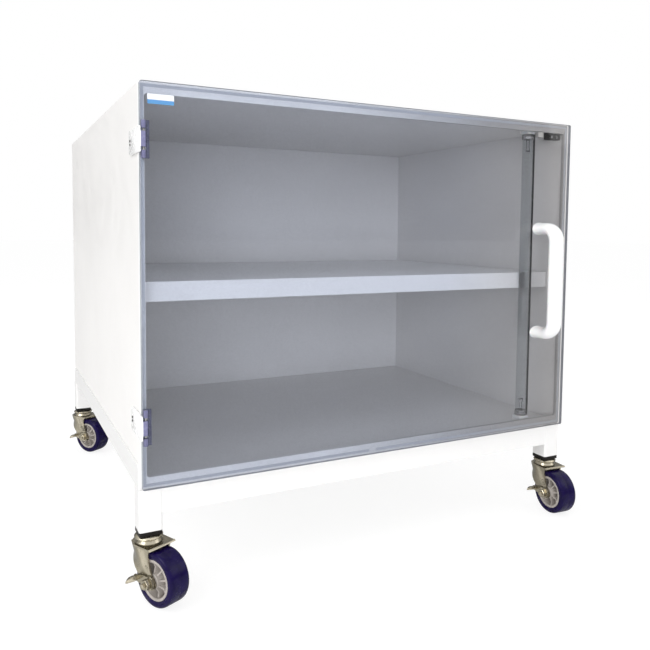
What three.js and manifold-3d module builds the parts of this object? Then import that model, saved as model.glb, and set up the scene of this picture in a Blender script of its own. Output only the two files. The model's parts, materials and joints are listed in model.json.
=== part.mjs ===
// A UV sterilizer cabinet: a white sheet cabinet with one smoked full-width door, standing on a
// welded tube base with four braked swivel casters.
// Millimetres. +Z is up, the door faces -Y, +X is to the right seen from the front.
// The pieces are drawn from the floor under the middle of the cabinet. At the end the whole is
// shifted a little, so that the origin is on the floor under the middle of everything that stands
// out: handle, hinges and wheels.
import * as THREE from 'three';
import { mergeVertices } from 'three/addons/utils/BufferGeometryUtils.js';
import Module from 'manifold-3d';

const wasm = await Module();
wasm.setup();

// ---- driving dimensions -------------------------------------------------------------------
const cabinetWidth = 760;
const cabinetDepth = 760; // door face to back
const cabinetHeight = 543;
const cabinetBottom = 160; // above the floor
const sheet = 6; // wall and door thickness
const flangeWidth = 15; // pale border above and below the opening
const flangeSide = 7.5; // pale border at its sides
const doorGap = 2; // between the door and the flange
const chamberDepth = 555; // door face to the chamber's back wall
const legSize = 32;
const tubeWall = 2;
const legBottom = 98;
const plugThickness = 6;
const wheelRadius = 37.5;
const fit = 0.3; // gap between pieces that turn or are cut by each other

// ---- places worked out from them ----------------------------------------------------------
const halfWidth = cabinetWidth / 2;
const front = -cabinetDepth / 2; // the door's outer face
const back = cabinetDepth / 2;
const cabinetTop = cabinetBottom + cabinetHeight;
const doorBack = front + sheet;
const flangeFront = doorBack + doorGap;
const flangeBack = flangeFront + sheet;
const innerHalfWidth = halfWidth - sheet;
const chamberFloor = cabinetBottom + sheet;
const chamberCeiling = cabinetTop - sheet;
const chamberBack = front + chamberDepth;
const openingTop = cabinetTop - flangeWidth;

// ---- colours -------------------------------------------------------------------------------
const white = 0xf3f1ee;
const warmWhite = 0xf8f7f4;
const smoked = 0x8f949c;
const black = 0x141416;
const zinc = 0xa39a78;
const navy = 0x17152e;
const hubGrey = 0xb9b3ab;
const steel = 0xb8b8bc;

// ---- helpers -------------------------------------------------------------------------------
function closedGeometry(geometry) {
  const bare = geometry.clone();
  bare.deleteAttribute('normal');
  bare.deleteAttribute('uv');
  const merged = mergeVertices(bare, 1e-4);
  const corners = merged.index.array;
  const kept = [];
  for (let i = 0; i < corners.length; i += 3) {
    const [a, b, c] = [corners[i], corners[i + 1], corners[i + 2]];
    if (a !== b && b !== c && c !== a) kept.push(a, b, c);
  }
  merged.setIndex(kept);
  return merged;
}

function toSolid(geometry) {
  const closed = closedGeometry(geometry);
  return new wasm.Manifold(new wasm.Mesh({
    numProp: 3,
    vertProperties: Float32Array.from(closed.attributes.position.array),
    triVerts: Uint32Array.from(closed.index.array),
  }));
}

function toGeometry(solid) {
  const mesh = solid.getMesh();
  const geometry = new THREE.BufferGeometry();
  geometry.setAttribute('position', new THREE.BufferAttribute(mesh.vertProperties, 3));
  geometry.setIndex(new THREE.BufferAttribute(mesh.triVerts, 1));
  return geometry;
}

function join(...geometries) {
  return toGeometry(geometries.map(toSolid).reduce((sum, next) => sum.add(next)));
}

function cut(body, ...tools) {
  return toGeometry(tools.map(toSolid).reduce((rest, tool) => rest.subtract(tool), toSolid(body)));
}

// A block between two corners.
function block([x0, y0, z0], [x1, y1, z1]) {
  const geometry = new THREE.BoxGeometry(x1 - x0, y1 - y0, z1 - z0);
  return geometry.translate((x0 + x1) / 2, (y0 + y1) / 2, (z0 + z1) / 2);
}

function cylinderZ(radius, z0, z1, x = 0, y = 0, sides = 20) {
  const geometry = new THREE.CylinderGeometry(radius, radius, z1 - z0, sides);
  return geometry.rotateX(Math.PI / 2).translate(x, y, (z0 + z1) / 2);
}

function cylinderY(radius, y0, y1, x = 0, z = 0, sides = 16) {
  const geometry = new THREE.CylinderGeometry(radius, radius, y1 - y0, sides);
  return geometry.translate(x, (y0 + y1) / 2, z);
}

// A solid of revolution about Z from [radius, z] points. The outline starts and ends on the axis
// or closes on itself.
function turnedZ(outline, sides = 24) {
  const points = outline.map(([radius, z]) => new THREE.Vector2(radius, z));
  return new THREE.LatheGeometry(points, sides).rotateX(Math.PI / 2);
}

// A solid of revolution about Y from [radius, y] points that closes on itself.
function ringY(outline, sides) {
  const points = outline.map(([radius, y]) => new THREE.Vector2(radius, y));
  points.push(points[0].clone());
  return new THREE.LatheGeometry(points, sides);
}

function roundedRectangle(width, height, radius) {
  const shape = new THREE.Shape();
  const [w, h] = [width / 2, height / 2];
  shape.moveTo(w, radius - h);
  shape.lineTo(w, h - radius);
  shape.absarc(w - radius, h - radius, radius, 0, Math.PI / 2);
  shape.lineTo(radius - w, h);
  shape.absarc(radius - w, h - radius, radius, Math.PI / 2, Math.PI);
  shape.lineTo(-w, radius - h);
  shape.absarc(radius - w, radius - h, radius, Math.PI, 1.5 * Math.PI);
  shape.lineTo(w - radius, -h);
  shape.absarc(w - radius, radius - h, radius, 1.5 * Math.PI, 2 * Math.PI);
  return shape;
}

function extrude(shape, depth, curveSegments = 2) {
  return new THREE.ExtrudeGeometry(shape, { depth, curveSegments, bevelEnabled: false });
}

// A sheet in the XZ plane with its front face at y0, from a shape drawn as x and z.
function uprightSheet(shape, y0, thickness, z, curveSegments = 2) {
  const geometry = extrude(shape, thickness, curveSegments).rotateX(Math.PI / 2);
  return geometry.translate(0, y0 + thickness, z);
}

// A sheet in the YZ plane from x0 to x0 + thickness, from a shape drawn as y and z.
function sideSheet(shape, x0, thickness, curveSegments = 2) {
  const geometry = extrude(shape, thickness, curveSegments);
  const toYZ = new THREE.Matrix4().makeBasis(
    new THREE.Vector3(0, 1, 0),
    new THREE.Vector3(0, 0, 1),
    new THREE.Vector3(1, 0, 0),
  );
  return geometry.applyMatrix4(toYZ).translate(x0, 0, 0);
}

function piece(name, geometry, color, roughness = 0.5, metalness = 0) {
  const material = new THREE.MeshStandardMaterial({ color, roughness, metalness });
  const mesh = new THREE.Mesh(closedGeometry(geometry), material);
  mesh.name = name;
  return mesh;
}

const cabinet = new THREE.Group();
const cabinetMiddleZ = cabinetBottom + cabinetHeight / 2;

// ---- cabinet shell -------------------------------------------------------------------------
function addShell() {
  cabinet.add(piece('left_side_panel', block(
    [-halfWidth, flangeBack, cabinetBottom],
    [-innerHalfWidth, back, cabinetTop],
  ), white));
  cabinet.add(piece('right_side_panel', block(
    [innerHalfWidth, flangeBack, cabinetBottom],
    [halfWidth, back, cabinetTop],
  ), white));
  cabinet.add(piece('top_panel', block(
    [-innerHalfWidth, flangeBack, chamberCeiling],
    [innerHalfWidth, back - sheet, cabinetTop],
  ), white));
  cabinet.add(piece('floor_panel', block(
    [-innerHalfWidth, flangeBack, cabinetBottom],
    [innerHalfWidth, back - sheet, chamberFloor],
  ), white));
  cabinet.add(piece('chamber_back_panel', block(
    [-innerHalfWidth, chamberBack, chamberFloor],
    [innerHalfWidth, chamberBack + sheet, chamberCeiling],
  ), white));
}

// The flange around the opening, seen through the door as a pale border.
function addFaceFrame() {
  const outline = roundedRectangle(cabinetWidth, cabinetHeight, 3);
  const opening = roundedRectangle(cabinetWidth - 2 * flangeSide, cabinetHeight - 2 * flangeWidth, 4);
  outline.holes.push(opening);
  cabinet.add(piece('face_frame', uprightSheet(outline, flangeFront, sheet, cabinetMiddleZ), white));
}

// The back sheet, with a block of vent slots and a hole for the power inlet.
const inletX = 300;
const inletZ = cabinetBottom + 70;
const inletWidth = 27;
const inletHeight = 47;
const ventRows = 6;
const ventPitch = 16;
const ventLength = 90;
const ventHeight = 5;

function addRearPanel() {
  const shape = new THREE.Shape();
  const bottom = cabinetBottom - cabinetMiddleZ;
  shape.moveTo(-innerHalfWidth, bottom);
  shape.lineTo(innerHalfWidth, bottom);
  shape.lineTo(innerHalfWidth, -bottom);
  shape.lineTo(-innerHalfWidth, -bottom);
  const tools = [block(
    [inletX - inletWidth / 2, back - 3 * sheet, inletZ - inletHeight / 2],
    [inletX + inletWidth / 2, back + sheet, inletZ + inletHeight / 2],
  )];
  for (const side of [-1, 1]) {
    for (let row = 0; row < ventRows; row += 1) {
      const z = cabinetTop - 90 - row * ventPitch;
      const x = side * 230;
      tools.push(block(
        [x - ventLength / 2, back - 3 * sheet, z - ventHeight / 2],
        [x + ventLength / 2, back + sheet, z + ventHeight / 2],
      ));
    }
  }
  const panel = uprightSheet(shape, back - sheet, sheet, cabinetMiddleZ);
  cabinet.add(piece('rear_panel', cut(panel, ...tools), white));
}

// ---- shelf ---------------------------------------------------------------------------------
const shelfFront = front + 43;
const shelfBack = chamberBack - 8;
const shelfTop = cabinetBottom + 278;
const shelfLip = 28;
const shelfSheet = 5;
const ledgeSize = 14;
const ledgeSetback = 8; // behind the shelf's lips

function addShelf() {
  const profile = new THREE.Shape();
  profile.moveTo(shelfFront, shelfTop);
  profile.lineTo(shelfFront, shelfTop - shelfLip);
  profile.lineTo(shelfFront + shelfSheet, shelfTop - shelfLip);
  profile.lineTo(shelfFront + shelfSheet, shelfTop - shelfSheet);
  profile.lineTo(shelfBack - shelfSheet, shelfTop - shelfSheet);
  profile.lineTo(shelfBack - shelfSheet, shelfTop - shelfLip);
  profile.lineTo(shelfBack, shelfTop - shelfLip);
  profile.lineTo(shelfBack, shelfTop);
  const width = 2 * (innerHalfWidth - 1);
  cabinet.add(piece('shelf', sideSheet(profile, -width / 2, width), white));
  // The ledge runs along both side walls and the back wall of the chamber.
  const ledge = new THREE.Shape();
  const ledgeFront = shelfFront + shelfSheet + ledgeSetback;
  const ledgeBack = shelfBack - shelfSheet - ledgeSetback;
  const ledgeInner = innerHalfWidth - ledgeSize;
  ledge.moveTo(-innerHalfWidth, ledgeFront);
  ledge.lineTo(-ledgeInner, ledgeFront);
  ledge.lineTo(-ledgeInner, ledgeBack - ledgeSize);
  ledge.lineTo(ledgeInner, ledgeBack - ledgeSize);
  ledge.lineTo(ledgeInner, ledgeFront);
  ledge.lineTo(innerHalfWidth, ledgeFront);
  ledge.lineTo(innerHalfWidth, ledgeBack);
  ledge.lineTo(-innerHalfWidth, ledgeBack);
  const ledgeBottom = shelfTop - shelfSheet - ledgeSize;
  cabinet.add(piece('shelf_ledge', extrude(ledge, ledgeSize).translate(0, 0, ledgeBottom), white));
}

// ---- germicidal lamp -----------------------------------------------------------------------
const lampX = halfWidth - 72;
const lampY = front + 30; // between the flange and the shelf's lip
const lampRadius = 10;
const lampCapRadius = 10.6;
const lampCapHeight = 14;
const lampHolder = 22;
const lampHolderHeight = 12;
const cableRadius = 1.8;
const cableX = lampX + 14.5;
const cableBend = 6;

function addLamp() {
  const low = chamberFloor + lampHolderHeight;
  const high = chamberCeiling - lampHolderHeight;
  cabinet.add(piece('lamp_tube', turnedZ([
    [0, low + fit],
    [lampCapRadius, low + fit],
    [lampCapRadius, low + lampCapHeight],
    [lampRadius, low + lampCapHeight + 2],
    [lampRadius, high - lampCapHeight - 2],
    [lampCapRadius, high - lampCapHeight],
    [lampCapRadius, high - fit],
    [0, high - fit],
  ]).translate(lampX, lampY, 0), smoked, 0.1));
  for (const [name, z0] of [['lower', chamberFloor], ['upper', high]]) {
    const holder = extrude(roundedRectangle(lampHolder, lampHolder, 4), lampHolderHeight);
    cabinet.add(piece(`lamp_holder_${name}`, holder.translate(lampX, lampY, z0), warmWhite, 0.4));
  }
  const reach = lampX + lampHolder / 2 + fit;
  const path = new THREE.CurvePath();
  const bottomZ = low - lampHolderHeight / 2;
  const topZ = high + lampHolderHeight / 2;
  const at = (x, z) => new THREE.Vector3(x, lampY, z);
  const corner = (x0, z0, x1, z1, x2, z2) => new THREE.QuadraticBezierCurve3(
    at(x0, z0),
    at(x1, z1),
    at(x2, z2),
  );
  path.add(corner(reach, bottomZ, cableX, bottomZ, cableX, bottomZ + cableBend));
  path.add(new THREE.LineCurve3(at(cableX, bottomZ + cableBend), at(cableX, topZ - cableBend)));
  path.add(corner(cableX, topZ - cableBend, cableX, topZ, reach, topZ));
  const section = new THREE.Shape().absarc(0, 0, cableRadius, 0, 2 * Math.PI);
  const cable = new THREE.ExtrudeGeometry(section, {
    steps: 30,
    curveSegments: 4,
    extrudePath: path,
  });
  cabinet.add(piece('lamp_cable', cable, black, 0.5));
}

const ballastSize = [190, 30, 42];
const ballastX = 150;
const ballastZ = cabinetBottom + 150;
const bezelRim = 5;
const bezelThickness = 3;
const inletDepth = 30;
const socketHalfWidth = 10;
const socketDepth = 16;
const wellHalfWidth = 9;
const wellDepth = 9;
const rockerZ = inletZ + 11;

function addElectrics() {
  const [ballastWidth, ballastDepth, ballastHeight] = ballastSize;
  const ballast = extrude(roundedRectangle(ballastWidth, ballastHeight, 3), ballastDepth);
  ballast.rotateX(Math.PI / 2).translate(ballastX, chamberBack + sheet + ballastDepth, ballastZ);
  cabinet.add(piece('lamp_ballast', ballast, steel, 0.4, 0.6));

  const bezel = block(
    [inletX - inletWidth / 2 - bezelRim, back, inletZ - inletHeight / 2 - bezelRim],
    [inletX + inletWidth / 2 + bezelRim, back + bezelThickness, inletZ + inletHeight / 2 + bezelRim],
  );
  const housing = block(
    [inletX - inletWidth / 2 + fit, back - inletDepth, inletZ - inletHeight / 2 + fit],
    [inletX + inletWidth / 2 - fit, back + 1, inletZ + inletHeight / 2 - fit],
  );
  const socket = block(
    [inletX - socketHalfWidth, back - socketDepth, inletZ - 19],
    [inletX + socketHalfWidth, back + 6, inletZ - 3],
  );
  const rockerWell = block(
    [inletX - wellHalfWidth, back - wellDepth, rockerZ - 8],
    [inletX + wellHalfWidth, back + 6, rockerZ + 8],
  );
  const inlet = cut(join(bezel, housing), socket, rockerWell);
  cabinet.add(piece('power_inlet', inlet, black, 0.5));

  // The rocker turns about X at the middle of its well; at rest its lower half is pressed in.
  const rocker = new THREE.Shape();
  rocker.moveTo(-5.6, -6.4);
  rocker.lineTo(2.2, -6.4);
  rocker.lineTo(3.4, 0);
  rocker.lineTo(5.6, 6);
  rocker.lineTo(-4, 6.4);
  const rockerWidth = 2 * (wellHalfWidth - 0.6);
  const body = sideSheet(rocker, inletX - rockerWidth / 2, rockerWidth);
  cabinet.add(piece('power_rocker', body.translate(0, back - 0.5, rockerZ), black, 0.3));
}

// ---- door ----------------------------------------------------------------------------------
const handleX = halfWidth - 68;
const handleZ = cabinetBottom + 266;
const handleSpan = 183; // between the middles of the two arms
const handleReach = 41; // door face to the middle of the grip
const handleBend = 19;
const handleHalf = [10, 15]; // half thickness and half width of the oval section
const screwRadius = 2.5;
const screwDepth = 18;
const screwHeadRadius = 5;
const plateWidth = 35;
const plateHeight = 13;
const plateX = -halfWidth + 27.5;
const plateZ = openingTop - 8;

function addDoor() {
  const sheetShape = roundedRectangle(cabinetWidth, cabinetHeight, 3);
  const panel = uprightSheet(sheetShape, front, sheet, cabinetMiddleZ);
  const arms = [handleZ - handleSpan / 2, handleZ + handleSpan / 2];
  const holes = arms.map((z) => cylinderY(screwRadius + fit, front - 5, doorBack + 5, handleX, z));
  cabinet.add(piece('door_panel', cut(panel, ...holes), smoked, 0.1));

  const blind = arms.map((z) => cylinderY(screwRadius + fit, front - screwDepth - 1, front + 1, handleX, z));
  cabinet.add(piece('door_handle', cut(handleSweep(arms), ...blind), warmWhite, 0.3));

  for (const [name, z] of [['lower', arms[0]], ['upper', arms[1]]]) {
    const screw = join(
      cylinderY(screwRadius, front - screwDepth, doorBack + 1, handleX, z, 16),
      cylinderY(screwHeadRadius, doorBack, doorBack + 3, handleX, z, 16),
    );
    cabinet.add(piece(`handle_screw_${name}`, screw, steel, 0.3, 1));
  }

  const plate = extrude(roundedRectangle(plateWidth, plateHeight, 1), 0.5).rotateX(Math.PI / 2);
  plate.translate(plateX, front, plateZ);
  cabinet.add(piece('name_plate', plate, warmWhite, 0.3));
}

// The D handle: an oval section swept from the door face, out, down the grip and back.
function handleSweep([low, high]) {
  const gripY = front - handleReach;
  const at = (y, z) => new THREE.Vector3(handleX, y, z);
  const path = new THREE.CurvePath();
  path.add(new THREE.LineCurve3(at(front, high), at(gripY + handleBend, high)));
  path.add(new THREE.QuadraticBezierCurve3(
    at(gripY + handleBend, high),
    at(gripY, high),
    at(gripY, high - handleBend),
  ));
  path.add(new THREE.LineCurve3(at(gripY, high - handleBend), at(gripY, low + handleBend)));
  path.add(new THREE.QuadraticBezierCurve3(
    at(gripY, low + handleBend),
    at(gripY, low),
    at(gripY + handleBend, low),
  ));
  path.add(new THREE.LineCurve3(at(gripY + handleBend, low), at(front, low)));
  const section = new THREE.Shape().absellipse(0, 0, ...handleHalf, 0, 2 * Math.PI);
  return new THREE.ExtrudeGeometry(section, { steps: 26, curveSegments: 7, extrudePath: path });
}

// The seal is two U strips on the flange. They meet at the top and leave a drain gap below.
const sealWidth = 4;
const sealInset = 2.5;
const sealJointX = -25;
const sealDrain = 13;
const sealClearance = 1; // room for the door's hinged edge to swing past

function addSeal() {
  const y0 = doorBack + sealClearance;
  const [outX, outTop] = [halfWidth - sealInset, cabinetTop - sealInset];
  const [inX, inTop] = [outX - sealWidth, outTop - sealWidth];
  const outBottom = cabinetBottom + sealInset;
  const inBottom = outBottom + sealWidth;
  const halves = [
    ['left', -1, sealJointX - 0.5, sealJointX],
    ['right', 1, sealJointX + 0.5, sealJointX + sealDrain],
  ];
  for (const [name, side, topX, bottomX] of halves) {
    const strip = new THREE.Shape();
    strip.moveTo(topX, outTop);
    strip.lineTo(side * outX, outTop);
    strip.lineTo(side * outX, outBottom);
    strip.lineTo(bottomX, outBottom);
    strip.lineTo(bottomX, inBottom);
    strip.lineTo(side * inX, inBottom);
    strip.lineTo(side * inX, inTop);
    strip.lineTo(topX, inTop);
    const geometry = extrude(strip, flangeFront - y0).rotateX(Math.PI / 2);
    cabinet.add(piece(`door_seal_${name}`, geometry.translate(0, flangeFront, 0), warmWhite, 0.8));
  }
}

// ---- door hinges ---------------------------------------------------------------------------
const hingeX = -halfWidth + 4;
const hingeY = front - 4;
const upperHingeDrop = 76; // from the top of the door
const lowerHingeRise = 87; // from its bottom
const knuckleRadius = 3.5;
const pinRadius = 1.5;
const pinHole = 1.58;
const leafThickness = 3;
const leafHalf = 16.5; // half height of the side leaf
const leafReach = 58; // door face to the side leaf's rear edge
const leafRound = 6;
const bridgeHalf = 10; // half height of the middle knuckle
const endInner = 14; // the door leaf's two knuckles
const endHalf = 24.5;
const doorLeafReach = 8; // hinge axis to the door leaf's free edge

function addHinge(name, z) {
  const sideLeafBack = front + leafReach;
  const sideLeafFront = front - 7.5;
  const leafShape = new THREE.Shape();
  leafShape.moveTo(sideLeafFront, z - leafHalf);
  leafShape.lineTo(sideLeafBack - leafRound, z - leafHalf);
  leafShape.absarc(sideLeafBack - leafRound, z - leafHalf + leafRound, leafRound, -Math.PI / 2, 0);
  leafShape.absarc(sideLeafBack - leafRound, z + leafHalf - leafRound, leafRound, 0, Math.PI / 2);
  leafShape.lineTo(sideLeafFront, z + leafHalf);
  const outerX = -halfWidth - leafThickness;
  const leaf = sideSheet(leafShape, outerX, leafThickness - 0.4);
  const bridge = block(
    [outerX, sideLeafFront, z - bridgeHalf],
    [hingeX, front - 0.6, z + bridgeHalf],
  );
  const knuckle = cylinderZ(knuckleRadius, z - bridgeHalf, z + bridgeHalf, hingeX, hingeY);
  const bore = cylinderZ(pinHole, z - endHalf, z + endHalf, hingeX, hingeY);
  const screwSeats = [-2.4, 2.4].map((dz) => cylinderZ(1.2, -1, 1, 0, 0, 12)
    .rotateY(Math.PI / 2)
    .translate(outerX, sideLeafBack - 8, z + dz));
  const sideLeaf = cut(join(leaf, bridge, knuckle), bore, ...screwSeats);
  cabinet.add(piece(`${name}_hinge_side_leaf`, sideLeaf, warmWhite, 0.4));

  const doorLeafRight = hingeX + doorLeafReach;
  const plateLeft = hingeX + knuckleRadius + 0.6;
  const parts = [block([plateLeft, front - 2.5, z - endHalf], [doorLeafRight, front, z + endHalf])];
  const bores = [];
  for (const side of [-1, 1]) {
    const [z0, z1] = [z + side * endInner, z + side * endHalf].sort((a, b) => a - b);
    parts.push(cylinderZ(knuckleRadius, z0, z1, hingeX, hingeY));
    parts.push(block([hingeX, front - 2.5, z0], [plateLeft + 1, front, z1]));
    bores.push(cylinderZ(pinHole, z0 - 5, z1 + 5, hingeX, hingeY));
  }
  const doorLeaf = cut(join(...parts), ...bores);
  cabinet.add(piece(`${name}_hinge_door_leaf`, doorLeaf, smoked, 0.3));
  const pin = cylinderZ(pinRadius, z - endHalf, z + endHalf, hingeX, hingeY, 16);
  cabinet.add(piece(`${name}_hinge_pin`, pin, steel, 0.3, 1));
}

// ---- door switch ---------------------------------------------------------------------------
const switchLeft = halfWidth - 38;
const switchRight = halfWidth - 10;
const switchDrop = 10.5; // how far it shows below the flange
const magnetLeft = switchLeft - 33;

function addSwitch() {
  const low = openingTop - switchDrop;
  const y0 = flangeBack + 1;
  const body = block([switchLeft, y0, low], [switchRight, y0 + 12, chamberCeiling]);
  const seats = [switchLeft + 8, switchRight - 8].map(
    (x) => cylinderY(2.6, y0 - 1, y0 + 1.2, x, low + 5, 16),
  );
  const heads = [switchLeft + 8, switchRight - 8].map(
    (x) => cylinderY(2, y0 + 0.4, y0 + 2, x, low + 5, 16),
  );
  const withSeats = cut(body, ...seats);
  cabinet.add(piece('door_switch', join(withSeats, ...heads), black, 0.5));
  const magnet = block([magnetLeft, doorBack, low + 0.5], [magnetLeft + 12, doorBack + 8, low + 9.5]);
  cabinet.add(piece('door_magnet', magnet, hubGrey, 0.5));
}

// ---- base stand ----------------------------------------------------------------------------
const legOuterX = halfWidth + 3;
const legCentreX = legOuterX - legSize / 2;
const legFront = front + 10;
const legCentreY = -(legFront + legSize / 2);
const angleThickness = 3;
const weldStep = 0.6; // how far a welded member sits inside the leg's face
const angleHeight = 30;
const railHeight = 38;
const railDepth = 25;

function addBase() {
  const angleTop = cabinetBottom + angleHeight;
  const legTop = cabinetBottom - angleThickness;
  const solids = [];
  const hollows = [];
  const legTopInside = legTop - tubeWall;
  const inside = legSize / 2 - tubeWall;
  for (const sx of [-1, 1]) {
    for (const sy of [-1, 1]) {
      const leg = extrude(roundedRectangle(legSize, legSize, 3), legTop - legBottom);
      solids.push(leg.translate(sx * legCentreX, sy * legCentreY, legBottom));
      hollows.push(block(
        [sx * legCentreX - inside, sy * legCentreY - inside, legBottom - 5],
        [sx * legCentreX + inside, sy * legCentreY + inside, legTopInside],
      ));
    }
    solids.push(...sideAngle(sx, angleTop, legTop));
  }
  const railEnd = legCentreX - legSize / 2 + 1;
  for (const sy of [-1, 1]) {
    const outerY = sy * (-legFront - weldStep);
    const [y0, y1] = [outerY - sy * railDepth, outerY].sort((a, b) => a - b);
    const z0 = cabinetBottom - railHeight;
    solids.push(block([-railEnd, y0, z0], [railEnd, y1, cabinetBottom - fit]));
    hollows.push(block(
      [-railEnd - 2 * tubeWall, y0 + tubeWall, z0 + tubeWall],
      [railEnd + 2 * tubeWall, y1 - tubeWall, legTop - tubeWall - 1],
    ));
  }
  cabinet.add(piece('base_frame', cut(join(...solids), ...hollows), white, 0.4));
}

// One side angle: an upright web beside the cabinet, rounded at both ends, and a foot under it.
function sideAngle(side, angleTop, legTop) {
  const end = -legFront - 4;
  const round = 14;
  const web = new THREE.Shape();
  web.moveTo(-end, legTop);
  web.lineTo(end, legTop);
  web.absarc(end - round, angleTop - round, round, 0, Math.PI / 2);
  web.absarc(round - end, angleTop - round, round, Math.PI / 2, Math.PI);
  const inner = halfWidth + 0.1;
  const outer = legOuterX - weldStep;
  const webX = side > 0 ? inner : -outer;
  const footEdges = [side * (halfWidth - 28), side * (outer - 1)].sort((a, b) => a - b);
  const foot = block(
    [footEdges[0], 1 - end, legTop - 1],
    [footEdges[1], end - 1, cabinetBottom],
  );
  return [sideSheet(web, webX, outer - inner), foot];
}

// ---- casters -------------------------------------------------------------------------------
// Each caster is drawn around its swivel axis with the wheel trailing along +X.
const trail = 30; // swivel axis to axle
const plugBottom = legBottom - plugThickness;
const wheelZ = wheelRadius;
const crownBottom = 78.5;
const crownThickness = 2.5;
const crownRadius = 21.5;
const cheekThickness = 2.5;
const axleRadius = 4;
const wheelWidth = 32;
const crownReach = 27; // swivel axis to the crown's straight front edge
const kingPinRadius = 4.6;
const boltHead = 7.2; // across the corners, half
const bossRadius = 10.5; // round the axle, on each cheek
const rimRadius = 27.8;
const webHalf = 8; // half thickness of the hub between boss and rim
const treadInner = 28;
const treadShoulder = 4;
const leverThickness = 2.4;
const leverRoom = 3.2; // on the axle, for the brake lever

function legPlug() {
  const size = legSize - 2 * tubeWall - 2 * fit;
  const flange = extrude(roundedRectangle(legSize, legSize, 3), plugThickness - fit);
  const insert = block([-size / 2, -size / 2, -1], [size / 2, size / 2, 24]);
  const top = insert.translate(0, 0, legBottom);
  const hole = cylinderZ(6.3, plugBottom - 5, legBottom + 30, 0, 0, 16);
  return cut(join(flange.translate(0, 0, plugBottom), top), hole);
}

// Threaded stem, bearing cap and the king pin whose head holds the fork up.
function casterStem() {
  return turnedZ([
    [0, 74.5],
    [8, 74.5],
    [8, crownBottom - fit],
    [kingPinRadius, crownBottom - fit],
    [kingPinRadius, 87.4],
    [18, 87.4],
    [19.5, 88.6],
    [16, plugBottom - fit],
    [6, plugBottom - fit],
    [6, legBottom + 21],
    [0, legBottom + 21],
  ], 16);
}

function casterFork() {
  const crownTop = crownBottom + crownThickness;
  const crown = new THREE.Shape();
  crown.moveTo(crownReach, -crownRadius);
  crown.lineTo(crownReach, crownRadius);
  crown.lineTo(0, crownRadius);
  crown.absarc(0, 0, crownRadius, Math.PI / 2, 1.5 * Math.PI);
  const parts = [extrude(crown, crownThickness, 5).translate(0, 0, crownBottom)];
  parts.push(block(
    [crownReach - 2.5, -crownRadius, crownBottom - 1.6],
    [crownReach, crownRadius, crownTop],
  ));
  parts.push(cylinderZ(17, crownTop - 1, 87, 0, 0, 20));
  for (const side of [-1, 1]) {
    const outer = side * crownRadius;
    const inner = side * (crownRadius - cheekThickness);
    parts.push(forkCheek(crownTop).translate(0, Math.min(outer, inner), 0));
  }
  const kingHole = cylinderZ(kingPinRadius + fit, crownBottom - 5, 95, 0, 0, 16);
  const axleHole = cylinderY(axleRadius + fit, -30, 30, trail, wheelZ, 16);
  return cut(join(...parts), kingHole, axleHole);
}

// One cheek, drawn in the XZ plane: wide at the crown and round about the axle.
function forkCheek(crownTop) {
  const cheek = new THREE.Shape();
  cheek.moveTo(-18, crownTop);
  cheek.quadraticCurveTo(-30, 60, -6, 49);
  cheek.quadraticCurveTo(8, 42, trail - bossRadius * 0.8, wheelZ - bossRadius * 0.6);
  cheek.absarc(trail, wheelZ, bossRadius, -0.795 * Math.PI, 0);
  cheek.quadraticCurveTo(trail + bossRadius, 47, 28, 54);
  cheek.quadraticCurveTo(20, 61, 24, crownTop);
  const geometry = extrude(cheek, cheekThickness, 4).rotateX(Math.PI / 2);
  return geometry.translate(0, cheekThickness, 0);
}

function casterAxle() {
  const outer = crownRadius + fit;
  const head = new THREE.CylinderGeometry(boltHead, boltHead, 5, 6);
  head.translate(trail, outer + 2.5, wheelZ);
  const nutY = -outer - leverRoom - 3;
  const nut = new THREE.CylinderGeometry(boltHead, boltHead, 6, 6).translate(trail, nutY, wheelZ);
  const shank = cylinderY(axleRadius, nutY - 5, outer + 2.5, trail, wheelZ, 16);
  return join(head, nut, shank);
}

function wheelHub() {
  const bore = axleRadius + fit;
  const bossEnd = wheelWidth / 2 + 1.5;
  const rimEnd = wheelWidth / 2 - 1;
  const hub = ringY([
    [bore, -bossEnd],
    [9, -bossEnd],
    [11, -webHalf],
    [22, -webHalf],
    [24, -rimEnd],
    [rimRadius, -rimEnd],
    [rimRadius, rimEnd],
    [24, rimEnd],
    [22, webHalf],
    [11, webHalf],
    [9, bossEnd],
    [bore, bossEnd],
  ], 24);
  return hub.translate(trail, 0, wheelZ);
}

function wheelTread() {
  const half = wheelWidth / 2;
  const tread = ringY([
    [treadInner, -half + 0.5],
    [wheelRadius - treadShoulder, -half],
    [wheelRadius, -half + treadShoulder],
    [wheelRadius, half - treadShoulder],
    [wheelRadius - treadShoulder, half],
    [treadInner, half - 0.5],
  ], 28);
  return tread.translate(trail, 0, wheelZ);
}

// A friction brake lever beside the near cheek, with a toe tab at its free end.
function brakeLever() {
  const y1 = -crownRadius - fit;
  const tabRoot = y1 - leverThickness + 0.5;
  const arm = new THREE.Shape();
  arm.absarc(0, 0, 9.5, -0.6 * Math.PI, 0.6 * Math.PI);
  arm.lineTo(-18, 6.5);
  arm.lineTo(-31, 3);
  arm.lineTo(-34, -2);
  arm.lineTo(-18, -5);
  const plate = extrude(arm, leverThickness, 4).rotateX(Math.PI / 2);
  plate.translate(trail, y1, wheelZ);
  const tab = new THREE.Shape();
  tab.moveTo(trail - 34, tabRoot);
  tab.lineTo(trail - 20, tabRoot);
  tab.lineTo(trail - 24, y1 - 15);
  tab.lineTo(trail - 31, y1 - 19);
  const toe = extrude(tab, leverThickness).translate(0, 0, wheelZ - 1);
  const hole = cylinderY(axleRadius + fit, y1 - 10, y1 + 5, trail, wheelZ, 16);
  return cut(join(plate, toe), hole);
}

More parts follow.
